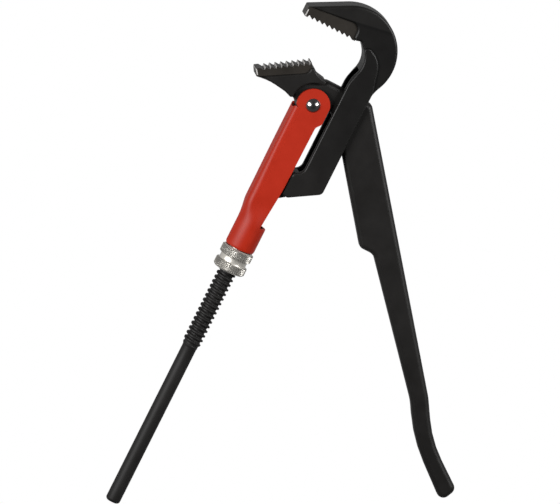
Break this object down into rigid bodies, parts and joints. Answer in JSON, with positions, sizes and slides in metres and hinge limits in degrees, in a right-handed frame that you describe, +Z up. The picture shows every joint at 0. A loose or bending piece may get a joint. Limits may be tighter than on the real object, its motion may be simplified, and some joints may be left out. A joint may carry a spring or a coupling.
{
  "type": "lever pipe wrench",
  "caption": "Two-handled lever pipe wrench: a toothed hook jaw on a slotted bar and screwed stem, and a toothed lower jaw lever that swings in a sliding sleeve set by a knurled nut.",
  "frame": {"origin": "on the stem's axis, where the rounded free end of the left handle meets its plain wall", "axes": "+Y along the stem toward the jaws, +X across the tool toward the bar and the right handle, +Z up out of the tool's flat"},
  "size_m": [0.2688, 0.4042, 0.0242],
  "materials": {
    "black_forging": "satin black over forged steel",
    "black_stem": "satin black over turned steel",
    "red_sheet": "semi-gloss red paint",
    "plated_nut": "knurled and plated",
    "bright_rivet": "polished dome",
    "spring_steel": "plain spring steel"
  },
  "bodies": {
    "hook": {"hook_jaw": "black_forging", "screw_stem": "black_stem"},
    "sleeve_body": {"sleeve": "red_sheet", "pivot_rivet": "bright_rivet", "leaf_spring": "spring_steel", "spring_rivet": "spring_steel"},
    "nut": {"adjusting_nut": "plated_nut"},
    "lever": {"jaw_lever": "black_forging"}
  },
  "joints": [
    {"name": "sleeve_slide", "type": "slide", "parent": "hook", "child": "sleeve_body", "axis": [0, 1, 0], "range_m": [-0.026, 0.017]},
    {"name": "nut_turn", "type": "hinge", "parent": "sleeve_body", "child": "nut", "pos_m": [0, 0.196, 0], "axis": [0, 1, 0], "range_deg": [-2530, 1660]},
    {"name": "jaw_swing", "type": "hinge", "parent": "sleeve_body", "child": "lever", "pos_m": [0, 0.3216, 0], "axis": [0, 0, 1], "range_deg": [-33.1, 2]}
  ],
  "couplings": [
    {"joint": "nut_turn", "follows": "sleeve_slide", "rad_per_m": 1675.5}
  ]
}
